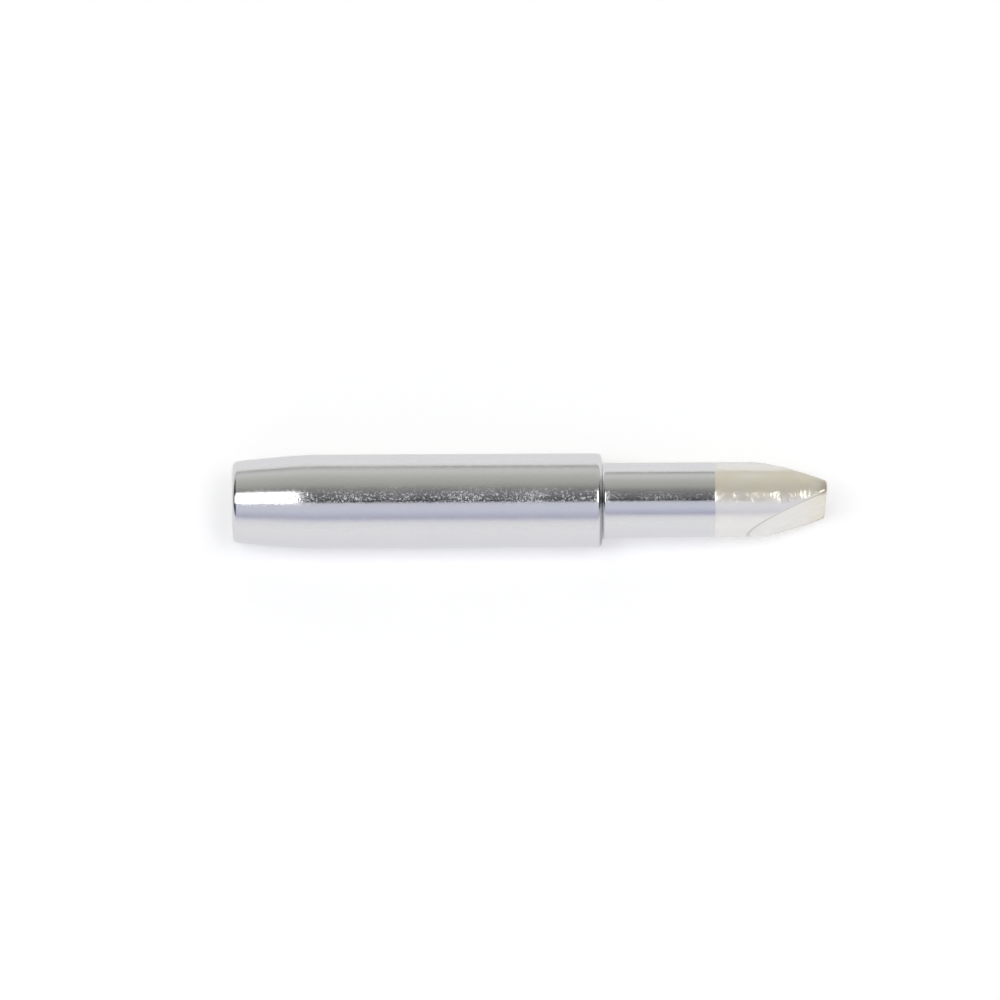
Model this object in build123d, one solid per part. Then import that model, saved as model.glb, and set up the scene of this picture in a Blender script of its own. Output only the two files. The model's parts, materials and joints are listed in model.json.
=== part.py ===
from build123d import *

import os
from math import atan, cos, degrees, radians, sin, tan

# A slip-on soldering iron tip with a wide chisel end.
#
# The tip is turned from one piece of copper bar and then plated. Its hollow shank slips over a round
# heater. In front of a shoulder the bar steps down to a solid neck, and two flats ground on the end of
# the neck leave a blunt blade that is as wide as the neck.
#
# The axis lies along X, with the middle of the open end at the origin and the blade towards +X. The tip
# lies on its shank with Z up. The flats face +Y and -Y, so the edge of the blade runs along Z.

# Heater that the shank slips over, and the drilled bore that takes it
heater_diameter = 4.0
heater_clearance = 0.1  # all round
bore_stop = 1.5  # from the end of the straight bore to the shoulder
drill_point_angle = 118.0
bore_mouth_chamfer = 0.15

# Shank round the bore
shank_length = 25.4
shank_wall = 1.15
open_end_wall = 0.7  # where the taper meets the end face
taper_length = 4.8
taper_blend_radius = 22.0
open_end_edge_radius = 0.4

# Shoulder, where the sleeve of the iron bears on the tip
shoulder_height = 0.65
shoulder_edge_radius = 0.36
shoulder_root_radius = 0.24

# Neck and blade
neck_length = 15.4  # from the shoulder to the end of the blade
flat_length = 5.4  # from where the flats run out to the end of the blade
blade_thickness = 0.9
blade_edge_radius = 0.2  # the plating and the solder soften every edge of the blade

# Radii
bore_radius = heater_diameter / 2 + heater_clearance
bore_mouth_radius = bore_radius + bore_mouth_chamfer
open_end_radius = bore_radius + open_end_wall
shank_radius = bore_radius + shank_wall
neck_radius = shank_radius - shoulder_height

# Places along the axis
shoulder_x = shank_length
bore_end_x = shoulder_x - bore_stop
drill_tip_x = bore_end_x + bore_radius / tan(radians(drill_point_angle / 2))
blade_end_x = shoulder_x + neck_length
flat_start_x = blade_end_x - flat_length

# Each flat leans to the axis by this much, in radians
flat_angle = atan((neck_radius - blade_thickness / 2) / flat_length)


def round_corner(profile, corner, radius):
    """Round the corner of a flat profile that lies at the point given."""
    vertex = profile.vertices().sort_by_distance(Vector(*corner)).first
    return fillet(vertex, radius)


def turned_bar():
    """The bar as it leaves the lathe: half of its outline, turned about the axis."""
    open_end_corner = (0, open_end_radius)
    taper_corner = (taper_length, shank_radius)
    shoulder_corner = (shoulder_x, shank_radius)
    root_corner = (shoulder_x, neck_radius)
    outline = Polyline(
        (0, 0),
        open_end_corner,
        taper_corner,
        shoulder_corner,
        root_corner,
        (blade_end_x, neck_radius),
        (blade_end_x, 0),
        close=True,
    )
    profile = make_face(outline)
    profile = round_corner(profile, open_end_corner, open_end_edge_radius)
    profile = round_corner(profile, taper_corner, taper_blend_radius)
    profile = round_corner(profile, shoulder_corner, shoulder_edge_radius)
    profile = round_corner(profile, root_corner, shoulder_root_radius)
    return revolve(profile, Axis.X)


def grind_flats(bar):
    """Cut the bar to a wedge with two flats that end a blade's thickness apart."""
    for side in (1, -1):
        flat = Plane(
            origin=(blade_end_x, side * blade_thickness / 2, 0),
            z_dir=(sin(flat_angle), side * cos(flat_angle), 0),
        )
        bar = split(bar, bisect_by=flat, keep=Keep.BOTTOM)
    return bar


def soften_blade(bar):
    """Round every edge of the flats and of the end of the blade."""
    cut_faces = bar.faces().filter_by(GeomType.PLANE).filter_by(
        lambda face: face.center().X > flat_start_x
    )
    return fillet(cut_faces.edges(), blade_edge_radius)


def heater_bore():
    """The drilled hole: chamfered mouth, straight wall and the cone left by the drill point."""
    outline = Polyline(
        (0, 0),
        (0, bore_mouth_radius),
        (bore_mouth_chamfer, bore_radius),
        (bore_end_x, bore_radius),
        (drill_tip_x, 0),
        close=True,
    )
    return revolve(make_face(outline), Axis.X)


soldering_tip = soften_blade(grind_flats(turned_bar())) - heater_bore()

os.makedirs("parts", exist_ok=True)
export_step(soldering_tip, "parts/soldering_tip.step")

print(f"length {blade_end_x:.2f} mm, shank {2 * shank_radius:.2f} mm, neck {2 * neck_radius:.2f} mm")
print(f"flats at {degrees(flat_angle):.1f} degrees, volume {soldering_tip.volume:.1f} cubic mm")
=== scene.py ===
import json
import math

import bpy
import numpy as np
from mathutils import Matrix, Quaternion, Vector


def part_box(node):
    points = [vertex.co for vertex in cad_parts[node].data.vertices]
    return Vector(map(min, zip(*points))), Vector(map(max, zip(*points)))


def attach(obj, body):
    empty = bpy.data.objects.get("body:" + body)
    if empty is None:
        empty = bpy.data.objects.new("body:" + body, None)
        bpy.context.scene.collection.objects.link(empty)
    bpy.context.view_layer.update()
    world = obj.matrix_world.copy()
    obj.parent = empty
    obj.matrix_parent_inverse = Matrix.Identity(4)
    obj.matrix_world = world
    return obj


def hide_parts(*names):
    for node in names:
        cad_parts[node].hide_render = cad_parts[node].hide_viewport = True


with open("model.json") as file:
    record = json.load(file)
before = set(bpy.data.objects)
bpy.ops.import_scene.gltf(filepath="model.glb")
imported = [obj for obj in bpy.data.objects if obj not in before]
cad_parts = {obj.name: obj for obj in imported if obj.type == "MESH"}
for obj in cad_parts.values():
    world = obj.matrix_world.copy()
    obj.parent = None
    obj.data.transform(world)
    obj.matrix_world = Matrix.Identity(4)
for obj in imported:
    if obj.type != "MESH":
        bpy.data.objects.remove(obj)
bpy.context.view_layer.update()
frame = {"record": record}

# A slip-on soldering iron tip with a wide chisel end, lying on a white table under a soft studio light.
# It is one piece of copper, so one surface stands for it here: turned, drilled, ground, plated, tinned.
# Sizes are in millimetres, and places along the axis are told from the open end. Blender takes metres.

mm = 0.001


# The turned and drilled body. A copper bar is turned to a shank, a shoulder and a neck, and a drill
# that runs in from the open end leaves the heater bore. Every corner is broken, and the plating that
# builds up on it rounds it further.

mounts = {mount["name"]: mount for mount in frame["record"]["mounts"]}
node_low, node_high = (np.array(corner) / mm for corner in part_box("soldering_tip"))

bore_radius = mounts["heater_bore"]["dims"]["r_mm"]
shank_radius = mounts["shank"]["dims"]["r_mm"]
shoulder_x = mounts["shoulder"]["pos_m"][0] / mm
blade_end_x = node_high[0]

open_end_radius = 2.8
open_end_edge_radius = 0.4
taper_length = 4.8
taper_blend_radius = 22.0
bore_mouth_chamfer = 0.15
bore_mouth_rim_radius = 0.03  # between the end face and the chamfer
bore_mouth_edge_radius = 0.1  # between the chamfer and the wall of the bore
bore_end_x = bore_mouth_chamfer + mounts["heater_bore"]["dims"]["length_mm"]
drill_point_half_angle = math.radians(59)
shoulder_height = 0.65
shoulder_edge_radius = 0.36
shoulder_root_radius = 0.24
neck_radius = shank_radius - shoulder_height
tinned_length = 7.7
tinned_from_x = blade_end_x - tinned_length
blade_rows_lead = 0.2  # the rows of the blade begin this far before the solder's rim
blade_rows_from_x = tinned_from_x - blade_rows_lead


def rounded_outline(corners, arc_rows=9, row_gap=2.5, extra_rows=3):
    """Points along an outline of straight runs. Each corner is a place along the axis, a distance out
    from it and a radius. An arc of that radius, one radius over the tangent of half the corner's angle
    away on each side, takes the place of the corner. A run has a row to each gap, at least two, and the
    extra rows. They close up near its ends, as the cosine of an even angle does, so that the shading of
    an arc doesn't spread over the run."""
    pieces = []
    start = np.array(corners[0][:2], float)
    for before, (along, out, radius), after in zip(corners, corners[1:], corners[2:] + [None]):
        corner = np.array((along, out), float)
        if after is None or radius == 0:
            tangent_in, arc = corner, corner[None]
        else:
            back = np.array(before[:2]) - corner
            ahead = np.array(after[:2]) - corner
            back, ahead = back / np.linalg.norm(back), ahead / np.linalg.norm(ahead)
            half_angle = math.acos(np.clip(back @ ahead, -1, 1)) / 2
            middle = (back + ahead) / np.linalg.norm(back + ahead)
            centre = corner + middle * radius / math.sin(half_angle)
            tangent_in = corner + back * radius / math.tan(half_angle)
            tangent_out = corner + ahead * radius / math.tan(half_angle)
            first, last = tangent_in - centre, tangent_out - centre
            turn = math.atan2(first[0] * last[1] - first[1] * last[0], first @ last)
            angles = math.atan2(first[1], first[0]) + turn * np.linspace(0, 1, arc_rows)[:, None]
            arc = centre + radius * np.hstack((np.cos(angles), np.sin(angles)))
        length = np.linalg.norm(tangent_in - start)
        rows = max(2, math.ceil(length / row_gap)) + extra_rows
        share = (1 - np.cos(np.pi * np.arange(rows) / rows)) / 2
        pieces += [start + (tangent_in - start) * share[:, None], arc[:-1]]
        start = arc[-1]
    return np.vstack(pieces + [start[None]])


drill_tip_x = bore_end_x + bore_radius / math.tan(drill_point_half_angle)
outline = rounded_outline([
    (drill_tip_x, 0, 0),
    (bore_end_x, bore_radius, 0),
    (bore_mouth_chamfer, bore_radius, bore_mouth_edge_radius),
    (0, bore_radius + bore_mouth_chamfer, bore_mouth_rim_radius),
    (0, open_end_radius, open_end_edge_radius),
    (taper_length, shank_radius, taper_blend_radius),
    (shoulder_x, shank_radius, shoulder_edge_radius),
    (shoulder_x, neck_radius, shoulder_root_radius),
    (blade_rows_from_x, neck_radius, 0),
])

# Columns go round the axis from the top. They stand closer together near the top and the bottom, where
# the corners of the blade run.
columns = 320
crowding = 0.2
even = np.linspace(0, 2 * np.pi, columns, endpoint=False)
around = even - crowding * np.sin(2 * even)
side, up = np.sin(around), np.cos(around)

turned = np.stack(np.broadcast_arrays(
    outline[1:, :1], outline[1:, 1:] * side, outline[1:, 1:] * up), axis=-1)


# The tinned chisel end. Two flats are ground on the neck, and the end is dipped in solder, which wets
# it up to a rim, fills the corners out softly and freezes with slight waves and a few beads.

blade_thickness = 0.9
flat_length = 5.4
flat_lean = math.atan((neck_radius - blade_thickness / 2) / flat_length)
run_out_softness = 0.10  # of the ground edge where the flat runs out
blade_softness = 0.30  # of the ground edge at the blade's end
end_softness = 0.22  # of the edges round the end
solder_thickness = 0.018
solder_fade = 0.5  # the length before the end over which the solder thins out
rim_width = 0.24
wave_seed = 7
wave_count = 420
wave_height = 0.009
wave_width = (0.12, 0.4)
wave_margin = (0.3, 0.4)  # from the rim and from the end to the nearest middle of a wave
tiny = 1e-6  # keeps a division away from zero

# Beads of solder by their place along the axis, turn from the top towards the camera, size and height
beads = (
    (34.25, 16.0, 0.10, 0.010),
    (35.45, 12.0, 0.08, 0.007),
    (35.75, 11.0, 0.08, 0.009),
    (36.72, 14.0, 0.17, 0.013),
    (37.00, 10.5, 0.20, 0.018),
    (38.90, 7.0, 0.48, 0.022),
    (40.25, 9.0, 0.18, 0.018),
    (35.10, -150.0, 0.26, 0.020),
    (36.70, 165.0, 0.24, 0.018),
)


def softer_maximum(a, b, width):
    """The larger of two distances, raised by a parabola where they differ by less than the width."""
    overlap = np.clip(width - np.abs(a - b), 0, None) / width
    return np.maximum(a, b) + overlap ** 2 * width / 4


def solder_layer(points):
    """Thickness of the solder at points near the surface: a layer that rises over a short rim, plus
    bell-shaped waves and beads, each with its own centre, width and height. All fade at the end."""
    x, y, z = np.moveaxis(points, -1, 0)
    from_rim = np.clip((x - tinned_from_x) / rim_width, 0, 1)
    layer = solder_thickness * np.sin(np.pi / 2 * from_rim)
    dice = np.random.default_rng(wave_seed)
    first_x, last_x = tinned_from_x + wave_margin[0], blade_end_x - wave_margin[1]
    centres_x = dice.uniform(first_x, last_x, wave_count)
    turns = dice.uniform(0, 2 * np.pi, wave_count)
    widths = dice.uniform(*wave_width, wave_count)
    heights = dice.uniform(-1, 1, wave_count) * wave_height
    bumps = list(zip(centres_x, turns, widths, heights))
    bumps += [(along, -math.radians(turn), size, height) for along, turn, size, height in beads]
    for along, turn, size, height in bumps:
        on_flat = max(0, along - (blade_end_x - flat_length))
        half_width = neck_radius - on_flat * math.tan(flat_lean)
        out = min(neck_radius, half_width / max(abs(math.sin(turn)), tiny))
        squared = (x - along) ** 2 + (y - out * math.sin(turn)) ** 2 + (z - out * math.cos(turn)) ** 2
        layer = layer + height * np.exp(-squared / (2 * size ** 2)) * from_rim
    return layer * np.clip((blade_end_x - x) / solder_fade, 0, 1)


def ground_distances(points):
    """Distances outside the neck's round wall, the nearer flat and the end, negative inside them."""
    x, y, z = np.moveaxis(points, -1, 0)
    wall = np.hypot(y, z) - neck_radius
    flat = ((np.abs(y) - blade_thickness / 2) * math.cos(flat_lean)
            + (x - blade_end_x) * math.sin(flat_lean))
    end = x - blade_end_x
    return wall, flat, end


def outside_blade(points, layer):
    """Distance outside the softened chisel, less the layer on it. The corner between wall and flat
    starts crisp where the flat runs out and grows softer with the square of the way to the end."""
    wall, flat, end = ground_distances(points)
    towards_end = np.clip(1 + end / flat_length, 0, 1)
    softness = run_out_softness + (blade_softness - run_out_softness) * towards_end ** 2
    return softer_maximum(softer_maximum(wall, flat, softness), end, end_softness) - layer


# Sharp-edged chisel first: rows along the walls up to the end, then rows across the end to its middle,
# closer together near the edge round the end. One column in each quarter turns with the ground edge,
# once the edge has come up to that column, and its neighbours close up or spread out with it.
side_rows, end_rows = 165, 30
row_crowding = 1.6
edge_column = 61
steps = np.arange(1, side_rows + 1)[:, None] / side_rows
row_x = blade_rows_from_x + (blade_end_x - blade_rows_from_x) * (1 - (1 - steps) ** row_crowding)
flat_gap = blade_thickness / 2 + (blade_end_x - row_x) * math.tan(flat_lean)
base_turn = np.arcsin(np.abs(side))
edge_base = around[edge_column]
edge_turn = np.minimum(np.arcsin(np.minimum(flat_gap / neck_radius, 1)), edge_base)
turn_on_wall = base_turn * edge_turn / edge_base
turn_on_flat = np.pi / 2 - (np.pi / 2 - base_turn) * (np.pi / 2 - edge_turn) / (np.pi / 2 - edge_base)
blade_turn = np.where(base_turn <= edge_base, turn_on_wall, turn_on_flat)
blade_side, blade_up = np.sign(side) * np.sin(blade_turn), np.sign(up) * np.cos(blade_turn)
wall_out = np.minimum(neck_radius, flat_gap / np.abs(blade_side).clip(tiny))
across = 1 - (np.arange(1, end_rows)[:, None] / end_rows) ** row_crowding
end_x = np.full((end_rows - 1, columns), blade_end_x)
sharp_x = np.vstack((np.broadcast_to(row_x, wall_out.shape), end_x))
sharp_out = np.vstack((wall_out, across * wall_out[-1]))
end_side = np.broadcast_to(blade_side[-1], end_x.shape)
end_up = np.broadcast_to(blade_up[-1], end_x.shape)
sharp_side, sharp_up = np.vstack((blade_side, end_side)), np.vstack((blade_up, end_up))
sharp = np.stack((sharp_x, sharp_out * sharp_side, sharp_out * sharp_up), axis=-1)

chisel_root = np.array((blade_rows_from_x, 0, 0))


def softened(layer, least=0.5, most=1.1, halvings=30):
    """The sharp points, each drawn along the line to the chisel's root on the axis until it meets the
    softened chisel with the layer on it. The share of the line that is left is found by halving the
    range from the least to the most."""
    inner, outer = np.full(sharp_x.shape, least), np.full(sharp_x.shape, most)
    for _ in range(halvings):
        middle = (inner + outer) / 2
        tried = chisel_root + (sharp - chisel_root) * middle[..., None]
        is_outside = outside_blade(tried, layer) > 0
        inner, outer = np.where(is_outside, inner, middle), np.where(is_outside, middle, outer)
    return chisel_root + (sharp - chisel_root) * inner[..., None]


bare_blade = softened(0.0)
blade = softened(solder_layer(bare_blade))


def outward(points):
    """Unit normals of the tinned chisel: how fast the distance outside it grows along each axis."""
    step = 0.01
    slopes = []
    for offset in np.eye(3) * step:
        ahead, behind = points + offset, points - offset
        rise = outside_blade(ahead, solder_layer(ahead))
        slopes.append(rise - outside_blade(behind, solder_layer(behind)))
    slopes = np.stack(slopes, axis=-1)
    return slopes / np.linalg.norm(slopes, axis=-1, keepdims=True)


# The whole skin: the turned part and the blade in one mesh, as the real tip is one piece. A pole in the
# drill's point and one in the middle of the blade's end close it.


def closed_skin(name, rings, first_pole, last_pole):
    """A mesh over rings of points. Four neighbours on two rings make a face, and a fan of triangles
    closes each end to its pole."""
    ring_count, around_count = rings.shape[:2]
    here = np.arange(around_count)
    after = np.roll(here, -1)
    base = 1 + np.arange(ring_count - 1)[:, None] * around_count
    quads = np.stack((base + here, base + around_count + here,
                      base + around_count + after, base + after), axis=-1).reshape(-1, 4)
    first_fan = np.stack((np.zeros_like(here), 1 + here, 1 + after), axis=-1)
    last_ring = 1 + (ring_count - 1) * around_count
    last_point = np.full_like(here, 1 + ring_count * around_count)
    last_fan = np.stack((last_ring + here, last_point, last_ring + after), axis=-1)
    points = np.vstack((first_pole, rings.reshape(-1, 3), last_pole)) * mm
    mesh = bpy.data.meshes.new(name)
    mesh.from_pydata(points.tolist(), [], first_fan.tolist() + quads.tolist() + last_fan.tolist())
    mesh.shade_smooth()
    mesh.update()
    skin = bpy.data.objects.new(name, mesh)
    bpy.context.scene.collection.objects.link(skin)
    return skin


rings = np.concatenate((turned, blade))
tip = closed_skin("plated_tip", rings, (drill_tip_x, 0, 0), (blade_end_x, 0, 0))

# Null normals leave the turned part to Blender's own smooth shading
normals = np.concatenate((np.zeros_like(turned), outward(blade))).reshape(-1, 3)
tip.data.normals_split_custom_set_from_vertices(np.vstack(((0, 0, 0), normals, (1, 0, 0))).tolist())

# How much further a point lies outside the round wall than outside the flat: none along a ground edge
from_wall, from_flat, _ = ground_distances(rings)
far_from_edge = 1.0
edge_distance = np.where(rings[..., 0] > blade_rows_from_x, from_wall - from_flat, far_from_edge)
edge_attribute = tip.data.attributes.new("edge_distance", "FLOAT", "POINT")
edge_values = np.concatenate(([far_from_edge], edge_distance.ravel(), [far_from_edge]))
edge_attribute.data.foreach_set("value", edge_values.astype(np.float32))


# The finishes. Bright chrome lies over nickel on the shank and the neck, solder over iron on the chisel,
# and drilled copper, darkened by heat, lies inside the bore.


def linear(code):
    """An sRGB hex colour as linear light: each part over 12.92 when dark, else by the power of 2.4."""
    parts = (int(code[i:i + 2], 16) / 255 for i in (1, 3, 5))
    return tuple(c / 12.92 if c <= 0.04045 else ((c + 0.055) / 1.055) ** 2.4 for c in parts) + (1.0,)


def add_node(tree, kind, inputs=None, **settings):
    """Adds a node. Inputs are by name or number, each a value or another node's socket to link."""
    node = tree.nodes.new(kind)
    for name, value in settings.items():
        setattr(node, name, value)
    for key, value in (inputs or {}).items():
        if isinstance(value, bpy.types.NodeSocket):
            tree.links.new(value, node.inputs[key])
        else:
            node.inputs[key].default_value = value
    return node


def new_finish(name, metallic, roughness, edge_tint=1.0):
    """A material with one shader, and its tree, shader and place on the piece to build on. The edge
    tint is the share of light that it still mirrors near grazing, where a metal dims a little."""
    material = bpy.data.materials.new(name)
    material.use_nodes = True
    tree = material.node_tree
    shader = tree.nodes["Principled BSDF"]
    shader.inputs["Metallic"].default_value = metallic
    shader.inputs["Roughness"].default_value = roughness
    shader.inputs["Specular Tint"].default_value = (edge_tint, edge_tint, edge_tint, 1.0)
    place = add_node(tree, "ShaderNodeTexCoord").outputs["Object"]
    return material, tree, shader, place


def gate(tree, value, opens, closes):
    """A smooth rise from 0 to 1 as the value goes from one number of opens to the other, times a
    smooth fall from 1 to 0 as it goes from one number of closes to the other."""
    rise = add_node(tree, "ShaderNodeMapRange", {
        "Value": value, "From Min": opens[0], "From Max": opens[1]}, interpolation_type="SMOOTHSTEP")
    fall = add_node(tree, "ShaderNodeMapRange", {
        "Value": value, "From Min": closes[0], "From Max": closes[1], "To Min": 1.0, "To Max": 0.0},
        interpolation_type="SMOOTHSTEP")
    return add_node(tree, "ShaderNodeMath", {
        0: rise.outputs["Result"], 1: fall.outputs["Result"]}, operation="MULTIPLY").outputs["Value"]


# Bright chrome, electroplated over turned copper: a sharp mirror with the faint orange peel and the
# small pits of a plated bar that was not polished first, and specks where it grew too fast and is dull.
# Most real ones are under a tenth of a millimetre wide, about a pixel of the picture, so they are drawn
# two to four times as coarse. The shank came out coarser than the neck. Shade is painted into the corner
# of the shoulder on the near side, as a grey tone on the chrome.
peel_length = 0.26  # along the axis
peel_width = 0.38
peel_depth = 0.005
pit_depth = 0.0024
speck_size = 0.16
haze_size = 2.5
coarse_to_x, fine_from_x = 25.0, 27.0
corner_shade_from_x, corner_shade_to_x = shoulder_x - 0.24, shoulder_x + 0.16
corner_shade_fade = 0.1
corner_shade_end_y = (0.2, 0.8)  # the painted shade fades out from the first of these places to the second

chrome, tree, shader, place = new_finish("bright_chrome_plate", 1.0, 0.1, 0.9)
peel_scale = (1 / (peel_length * mm), 1 / (peel_width * mm), 1 / (peel_width * mm))
lathe_place = add_node(tree, "ShaderNodeMapping", {"Vector": place, "Scale": peel_scale}).outputs["Vector"]
peel = add_node(tree, "ShaderNodeTexNoise", {"Vector": lathe_place, "Scale": 1.0, "Detail": 3.0})
pit_place = add_node(tree, "ShaderNodeTexVoronoi", {"Vector": lathe_place, "Scale": 0.7})
pits = add_node(tree, "ShaderNodeMapRange", {
    "Value": pit_place.outputs["Distance"], "From Min": 0.0, "From Max": 0.28},
    interpolation_type="SMOOTHSTEP")
apart = add_node(tree, "ShaderNodeSeparateXYZ", {"Vector": place})
along_axis = apart.outputs["X"]
coarseness = add_node(tree, "ShaderNodeMapRange", {
    "Value": along_axis, "From Min": coarse_to_x * mm, "From Max": fine_from_x * mm,
    "To Min": 1.2, "To Max": 1.0}).outputs["Result"]
speck_reach = add_node(tree, "ShaderNodeMapRange", {
    "Value": along_axis, "From Min": coarse_to_x * mm, "From Max": fine_from_x * mm,
    "To Min": 0.52, "To Max": 0.33})
peel_height = add_node(tree, "ShaderNodeMath", {
    0: peel.outputs["Fac"], 1: coarseness}, operation="MULTIPLY")
pit_height = add_node(tree, "ShaderNodeMath", {
    0: pits.outputs["Result"], 1: coarseness}, operation="MULTIPLY")
peel_bump = add_node(tree, "ShaderNodeBump", {
    "Height": peel_height.outputs["Value"], "Strength": 1.0, "Distance": peel_depth * mm})
pit_bump = add_node(tree, "ShaderNodeBump", {
    "Height": pit_height.outputs["Value"], "Strength": 1.0, "Distance": pit_depth * mm,
    "Normal": peel_bump.outputs["Normal"]})
haze = add_node(tree, "ShaderNodeTexNoise", {
    "Vector": place, "Scale": 1 / (haze_size * mm), "Detail": 4.0})
shine = add_node(tree, "ShaderNodeMapRange", {
    "Value": haze.outputs["Fac"], "From Min": 0.3, "From Max": 0.7, "To Min": 0.08, "To Max": 0.14})
duller = add_node(tree, "ShaderNodeMath", {
    0: shine.outputs["Result"], 1: coarseness}, operation="MULTIPLY")
tone = add_node(tree, "ShaderNodeMix", {
    "Factor": haze.outputs["Fac"], "A": linear("#D8D8DA"), "B": linear("#DCDCDD")}, data_type="RGBA")
speck_place = add_node(tree, "ShaderNodeTexNoise", {
    "Vector": place, "Scale": 1 / (speck_size * mm), "Detail": 2.0})
specks = add_node(tree, "ShaderNodeMapRange", {
    "Value": speck_place.outputs["Fac"], "From Min": 0.47, "From Max": 0.66})
speck_share = add_node(tree, "ShaderNodeMath", {
    0: specks.outputs["Result"], 1: speck_reach.outputs["Result"]}, operation="MULTIPLY")
speckled = add_node(tree, "ShaderNodeMix", {
    "Factor": speck_share.outputs["Value"], "A": duller.outputs["Value"], "B": 0.34})
# Painted shade: the chrome's tone greys in the shoulder's corner on the near side
corner_shade_begins = add_node(tree, "ShaderNodeMapRange", {
    "Value": along_axis, "From Min": corner_shade_from_x * mm, "From Max": (corner_shade_from_x + corner_shade_fade) * mm})
corner_shade_ends = add_node(tree, "ShaderNodeMapRange", {
    "Value": along_axis, "From Min": (corner_shade_to_x - corner_shade_fade) * mm, "From Max": corner_shade_to_x * mm,
    "To Min": 1.0, "To Max": 0.0})
near_side = add_node(tree, "ShaderNodeMapRange", {
    "Value": apart.outputs["Y"], "From Min": corner_shade_end_y[0] * mm, "From Max": corner_shade_end_y[1] * mm,
    "To Min": 1.0, "To Max": 0.0})
in_corner = add_node(tree, "ShaderNodeMath", {
    0: corner_shade_begins.outputs["Result"], 1: corner_shade_ends.outputs["Result"]}, operation="MULTIPLY")
corner_shade_share = add_node(tree, "ShaderNodeMath", {
    0: in_corner.outputs["Value"], 1: near_side.outputs["Result"]}, operation="MULTIPLY")
corner_shaded_tone = add_node(tree, "ShaderNodeMix", {
    "Factor": corner_shade_share.outputs["Value"], "A": tone.outputs["Result"], "B": linear("#A0A0A2")},
    data_type="RGBA")
tree.links.new(corner_shaded_tone.outputs["Result"], shader.inputs["Base Color"])
tree.links.new(speckled.outputs["Result"], shader.inputs["Roughness"])
tree.links.new(pit_bump.outputs["Normal"], shader.inputs["Normal"])

# Lead-free solder, wetted over iron plate and frozen: half a mirror and half frosted, with a yellowish
# film of flux on the side that lay uppermost, scorched brown at the blade's corners, and a darker grey
# line along the upper run of each ground edge. The real frost is finer than a pixel of the picture,
# so it is drawn at 0.35 mm.
film_start_y, film_end_y = (-1.5, -0.2), (0.7, 1.7)  # it fades in over one span and out over the other
cloud_size = 1.4
scorch_start_z = (2.0, 2.5)  # up or down from the axis
scorch_start_x = (blade_end_x - 1.0, blade_end_x + 0.1)
edge_line_width = 0.09
edge_line_start_z = (-0.5, -0.1)
frost_size = 0.35
frost_depth = 0.007
ripple_length = 0.2  # along the axis
ripple_width = 0.7
ripple_depth = 0.015

solder, tree, shader, place = new_finish("frozen_tin_solder", 0.55, 0.2, 0.9)
apart = add_node(tree, "ShaderNodeSeparateXYZ", {"Vector": place})
cloud = add_node(tree, "ShaderNodeTexNoise", {
    "Vector": place, "Scale": 1 / (cloud_size * mm), "Detail": 3.0})
film_place = gate(
    tree, apart.outputs["Y"], [y * mm for y in film_start_y], [y * mm for y in film_end_y])
film = add_node(tree, "ShaderNodeMath", {0: film_place, 1: cloud.outputs["Fac"]}, operation="MULTIPLY")
tint = add_node(tree, "ShaderNodeMix", {
    "Factor": film.outputs["Value"], "A": linear("#EFEDE8"), "B": linear("#EAE0C0")}, data_type="RGBA")
corner_reach = add_node(tree, "ShaderNodeMath", {0: apart.outputs["Z"]}, operation="ABSOLUTE")
at_corner = add_node(tree, "ShaderNodeMapRange", {
    "Value": corner_reach.outputs["Value"],
    "From Min": scorch_start_z[0] * mm, "From Max": scorch_start_z[1] * mm})
at_end = add_node(tree, "ShaderNodeMapRange", {
    "Value": apart.outputs["X"],
    "From Min": scorch_start_x[0] * mm, "From Max": scorch_start_x[1] * mm},
    interpolation_type="SMOOTHSTEP")
scorch_place = add_node(tree, "ShaderNodeMath", {
    0: at_corner.outputs["Result"], 1: at_end.outputs["Result"]}, operation="MULTIPLY")
scorch_share = add_node(tree, "ShaderNodeMath", {
    0: scorch_place.outputs["Value"], 1: cloud.outputs["Fac"]}, operation="MULTIPLY")
scorched = add_node(tree, "ShaderNodeMix", {
    "Factor": scorch_share.outputs["Value"], "A": tint.outputs["Result"], "B": linear("#A89888")},
    data_type="RGBA")
edge = add_node(tree, "ShaderNodeAttribute", attribute_name="edge_distance")
off_edge = add_node(tree, "ShaderNodeMath", {0: edge.outputs["Fac"]}, operation="ABSOLUTE")
edge_share = add_node(tree, "ShaderNodeMapRange", {
    "Value": off_edge.outputs["Value"], "From Min": 0.0, "From Max": edge_line_width,
    "To Min": 0.45, "To Max": 0.0}, interpolation_type="SMOOTHSTEP")
upper_run = add_node(tree, "ShaderNodeMapRange", {
    "Value": apart.outputs["Z"],
    "From Min": edge_line_start_z[0] * mm, "From Max": edge_line_start_z[1] * mm},
    interpolation_type="SMOOTHSTEP")
line_share = add_node(tree, "ShaderNodeMath", {
    0: edge_share.outputs["Result"], 1: upper_run.outputs["Result"]}, operation="MULTIPLY")
lined = add_node(tree, "ShaderNodeMix", {
    "Factor": line_share.outputs["Value"], "A": scorched.outputs["Result"], "B": linear("#8E8B84")},
    data_type="RGBA")
frost = add_node(tree, "ShaderNodeTexNoise", {
    "Vector": place, "Scale": 1 / (frost_size * mm), "Detail": 3.0})
frost_bump = add_node(tree, "ShaderNodeBump", {
    "Height": frost.outputs["Fac"], "Strength": 1.0, "Distance": frost_depth * mm})
ripple_scale = (1 / (ripple_length * mm), 1 / (ripple_width * mm), 1 / (ripple_width * mm))
ripple_place = add_node(tree, "ShaderNodeMapping", {"Vector": place, "Scale": ripple_scale})
ripples = add_node(tree, "ShaderNodeTexNoise", {
    "Vector": ripple_place.outputs["Vector"], "Scale": 1.0, "Detail": 2.0})
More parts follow.
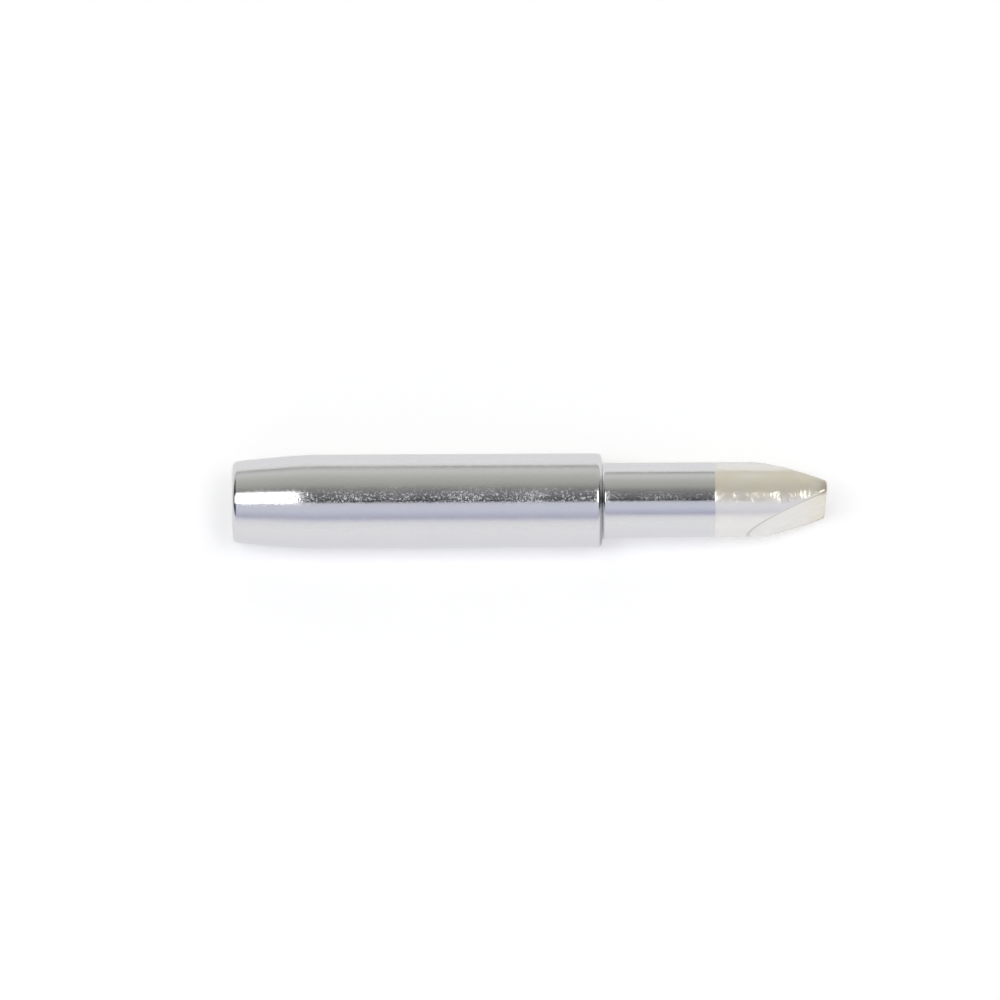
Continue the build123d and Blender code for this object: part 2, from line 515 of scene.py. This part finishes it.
ruffled = add_node(tree, "ShaderNodeMapRange", {
    "Value": cloud.outputs["Fac"], "From Min": 0.44, "From Max": 0.59}, interpolation_type="SMOOTHSTEP")
ripple_height = add_node(tree, "ShaderNodeMath", {
    0: ripples.outputs["Fac"], 1: ruffled.outputs["Result"]}, operation="MULTIPLY")
ripple_bump = add_node(tree, "ShaderNodeBump", {
    "Height": ripple_height.outputs["Value"], "Strength": 1.0, "Distance": ripple_depth * mm,
    "Normal": frost_bump.outputs["Normal"]})
dulled = add_node(tree, "ShaderNodeMapRange", {
    "Value": cloud.outputs["Fac"], "From Min": 0.3, "From Max": 0.7, "To Min": 0.18, "To Max": 0.25})
tree.links.new(lined.outputs["Result"], shader.inputs["Base Color"])
tree.links.new(dulled.outputs["Result"], shader.inputs["Roughness"])
tree.links.new(ripple_bump.outputs["Normal"], shader.inputs["Normal"])

# Drilled copper under a thin flash of nickel: rings left by the drill, browner with depth.
heat_from_x, heat_to_x = 0.4, 9.0
drill_ring_gap = 0.25
drill_ring_depth = 0.02

bore, tree, shader, place = new_finish("drilled_copper_bore", 1.0, 0.4)
apart = add_node(tree, "ShaderNodeSeparateXYZ", {"Vector": place})
depth = add_node(tree, "ShaderNodeMapRange", {
    "Value": apart.outputs["X"], "From Min": heat_from_x * mm, "From Max": heat_to_x * mm},
    interpolation_type="SMOOTHSTEP")
heat = add_node(tree, "ShaderNodeMix", {
    "Factor": depth.outputs["Result"], "A": linear("#B9B6B0"), "B": linear("#7A6453")}, data_type="RGBA")
ring_place = add_node(tree, "ShaderNodeCombineXYZ", {"X": apart.outputs["X"]})
drill_rings = add_node(tree, "ShaderNodeTexNoise", {
    "Vector": ring_place.outputs["Vector"], "Scale": 1 / (drill_ring_gap * mm), "Detail": 2.0})
ring_bump = add_node(tree, "ShaderNodeBump", {
    "Height": drill_rings.outputs["Fac"], "Strength": 1.0, "Distance": drill_ring_depth * mm})
tree.links.new(heat.outputs["Result"], shader.inputs["Base Color"])
tree.links.new(ring_bump.outputs["Normal"], shader.inputs["Normal"])

# Each face takes its finish by the place of its middle
slack = 0.02  # room for rounding
for finish in (chrome, solder, bore):
    tip.data.materials.append(finish)
centres = np.empty(3 * len(tip.data.polygons), np.float32)
tip.data.polygons.foreach_get("center", centres)
centres = centres.reshape(-1, 3) / mm
centre_radius = np.hypot(centres[:, 1], centres[:, 2])
past_chamfer = (centres[:, 0] > bore_mouth_chamfer) & (centres[:, 0] < drill_tip_x + slack)
in_bore = (centre_radius < bore_radius + slack) & past_chamfer
finish_index = np.where(in_bore, 2, np.where(centres[:, 0] > tinned_from_x, 1, 0)).astype(np.int32)
tip.data.polygons.foreach_set("material_index", finish_index)

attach(tip, "root")
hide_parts("soldering_tip")


# The table: a white sheet, pale all over. What the camera and the metal see of it is mostly its own
# white, and the rest is the light that falls on it, which keeps the tip's soft shadow.

table_size = 4.0  # metres
own_white = 0.30
own_white_in_metal = 0.27
table_mesh = bpy.data.meshes.new("white_table")
reach = table_size / 2
table_mesh.from_pydata(
    [(-reach, -reach, 0), (reach, -reach, 0), (reach, reach, 0), (-reach, reach, 0)], [], [(0, 1, 2, 3)])
table = bpy.data.objects.new("white_table", table_mesh)
table.location = (0, 0, node_low[2] * mm)
bpy.context.scene.collection.objects.link(table)

sheet, tree, shader, _ = new_finish("white_paper_sheet", 0.0, 0.9)
shader.inputs["Base Color"].default_value = linear("#F8F8F8")
rays = add_node(tree, "ShaderNodeLightPath")
mirrored = add_node(tree, "ShaderNodeMath", {
    0: rays.outputs["Is Glossy Ray"], 1: rays.outputs["Is Transmission Ray"]}, operation="MAXIMUM")
to_camera = add_node(tree, "ShaderNodeMath", {
    0: rays.outputs["Is Camera Ray"], 1: own_white}, operation="MULTIPLY")
white_share = add_node(tree, "ShaderNodeMath", {
    0: mirrored.outputs["Value"], 1: own_white_in_metal, 2: to_camera.outputs["Value"]},
    operation="MULTIPLY_ADD")
own_light = add_node(tree, "ShaderNodeEmission", {"Strength": white_share.outputs["Value"]})
both = add_node(tree, "ShaderNodeAddShader", {0: shader.outputs["BSDF"], 1: own_light.outputs["Emission"]})
tree.links.new(both.outputs["Shader"], tree.nodes["Material Output"].inputs["Surface"])
table_mesh.materials.append(sheet)


# The studio: a pale tent with a dark opening overhead, a bright soft lamp to the left and the right of
# the opening, a weaker panel of light beyond the left one, and a dark wing at each side.

# A direction is told in degrees: by its climb from the near horizon over the top to the far one at 180,
# and by its lean to the left or the right. A soft edge is told by the two places between which it fades.
tent_tones = (
    (0, "#FCFCFD"), (13, "#F9F9FB"), (20, "#E8E7F2"), (27.5, "#C1C1D3"), (37, "#D0D1E3"), (44, "#DBDEED"),
    (52, "#DDE0EE"), (64.9, "#DADAE5"), (66.9, "#343438"), (71, "#36363A"), (73.5, "#5C5C5E"),
    (82, "#6C6C6E"), (92, "#7E7E80"), (100, "#92928F"), (106, "#A8A8A3"), (114, "#B8B8B2"),
    (122, "#C0C0BA"), (131, "#C8C8C2"), (140, "#D5D5D0"), (150, "#E0E0DE"), (157, "#D2D2CF"),
    (161.5, "#B8B8B5"), (164.5, "#C0C0BD"), (168, "#F8F8F6"), (180, "#FFFFFF"),
)
lamp_strength = 4.0
lamp_near_edge, lamp_far_edge = (64, 68), (86, 98)
lamp_inner_edge, lamp_outer_edge = (8.1, 9.7), (26, 28)
panel_strength = 1.4
panel_inner_edge, panel_outer_edge = (23, 27), (56, 64)
wing_inner_edge = (28, 32)
left_wing_near_edge, left_wing_far_edge = (18, 34), (138, 156)
right_wing_near_edge, right_wing_far_edge = (38, 48), (102, 132)
no_outer_edge = (1.1, 1.2)  # beyond the sine of any lean

world = bpy.data.worlds.new("light_tent")
world.use_nodes = True
bpy.context.scene.world = world
tree = world.node_tree
heading = add_node(tree, "ShaderNodeSeparateXYZ", {
    "Vector": add_node(tree, "ShaderNodeTexCoord").outputs["Generated"]})
nearward = add_node(tree, "ShaderNodeMath", {0: heading.outputs["Y"], 1: -1.0}, operation="MULTIPLY")
climb = add_node(tree, "ShaderNodeMath", {
    0: heading.outputs["Z"], 1: nearward.outputs["Value"]}, operation="ARCTAN2")
climb_share = add_node(tree, "ShaderNodeMath", {
    0: climb.outputs["Value"], 1: math.pi}, operation="DIVIDE", use_clamp=True).outputs["Value"]
rightward = heading.outputs["X"]
leftward = add_node(tree, "ShaderNodeMath", {0: rightward, 1: -1.0}, operation="MULTIPLY").outputs["Value"]
lean = add_node(tree, "ShaderNodeMath", {0: rightward}, operation="ABSOLUTE").outputs["Value"]

tent = add_node(tree, "ShaderNodeValToRGB", {"Fac": climb_share})
stops = tent.color_ramp.elements
stops[0].position, stops[0].color = 0, linear(tent_tones[0][1])
stops[1].position, stops[1].color = 1, linear(tent_tones[-1][1])
for degrees, code in tent_tones[1:-1]:
    stops.new(degrees / 180).color = linear(code)


def climbs(edge):
    """The two climbs of an edge as shares of half a turn."""
    return tuple(degrees / 180 for degrees in edge)


def leans(edge):
    """The two leans of an edge as sines."""
    return tuple(math.sin(math.radians(degrees)) for degrees in edge)


lamp_height = gate(tree, climb_share, climbs(lamp_near_edge), climbs(lamp_far_edge))
lamp_sides = gate(tree, lean, leans(lamp_inner_edge), leans(lamp_outer_edge))
lamp = add_node(tree, "ShaderNodeMath", {0: lamp_sides, 1: lamp_height}, operation="MULTIPLY")
panel_side = gate(tree, leftward, leans(panel_inner_edge), leans(panel_outer_edge))
panel = add_node(tree, "ShaderNodeMath", {0: panel_side, 1: lamp_height}, operation="MULTIPLY")
left_wing = add_node(tree, "ShaderNodeMath", {
    0: gate(tree, leftward, leans(wing_inner_edge), no_outer_edge),
    1: gate(tree, climb_share, climbs(left_wing_near_edge), climbs(left_wing_far_edge))},
    operation="MULTIPLY")
right_wing = add_node(tree, "ShaderNodeMath", {
    0: gate(tree, rightward, leans(wing_inner_edge), no_outer_edge),
    1: gate(tree, climb_share, climbs(right_wing_near_edge), climbs(right_wing_far_edge))},
    operation="MULTIPLY")
half_shaded = add_node(tree, "ShaderNodeMix", {
    "Factor": left_wing.outputs["Value"], "A": tent.outputs["Color"], "B": linear("#505052")},
    data_type="RGBA")
shaded = add_node(tree, "ShaderNodeMix", {
    "Factor": right_wing.outputs["Value"], "A": half_shaded.outputs["Result"], "B": linear("#484849")},
    data_type="RGBA")
walls = add_node(tree, "ShaderNodeBackground", {"Color": shaded.outputs["Result"], "Strength": 1.0})
panel_power = add_node(tree, "ShaderNodeMath", {
    0: panel.outputs["Value"], 1: panel_strength}, operation="MULTIPLY")
lamp_power = add_node(tree, "ShaderNodeMath", {
    0: lamp.outputs["Value"], 1: lamp_strength, 2: panel_power.outputs["Value"]}, operation="MULTIPLY_ADD")
lamps = add_node(tree, "ShaderNodeBackground", {
    "Color": linear("#FFFFFF"), "Strength": lamp_power.outputs["Value"]})
studio = add_node(tree, "ShaderNodeAddShader", {
    0: walls.outputs["Background"], 1: lamps.outputs["Background"]})
backdrop = add_node(tree, "ShaderNodeBackground", {"Color": linear("#FDFDFD"), "Strength": 1.0})
rays = add_node(tree, "ShaderNodeLightPath")
seen_world = add_node(tree, "ShaderNodeMixShader", {
    0: rays.outputs["Is Camera Ray"], 1: studio.outputs["Shader"], 2: backdrop.outputs["Background"]})
tree.links.new(seen_world.outputs["Shader"], tree.nodes["World Output"].inputs["Surface"])


# The camera: high above the near side with a long lens, level but for a quarter of a degree.

view_elevation = math.radians(68.5)
view_distance = 0.55  # metres
view_width = 68.8 * mm
view_roll = math.radians(-0.27)
aim_along = 18.38 * mm
aim_height = 0.069 * mm

camera_data = bpy.data.cameras.new("camera")
camera_data.lens = camera_data.sensor_width * view_distance / view_width
camera = bpy.data.objects.new("camera", camera_data)
away = Vector((0, -math.cos(view_elevation), math.sin(view_elevation)))
upward = Vector((0, math.sin(view_elevation), math.cos(view_elevation)))
camera.location = Vector((aim_along, 0, 0)) + upward * aim_height + away * view_distance
camera.rotation_mode = "QUATERNION"
camera.rotation_quaternion = (-away).to_track_quat("-Z", "Y") @ Quaternion((0, 0, 1), view_roll)
bpy.context.scene.collection.objects.link(camera)
bpy.context.scene.camera = camera
bpy.context.scene.view_settings.view_transform = "Standard"
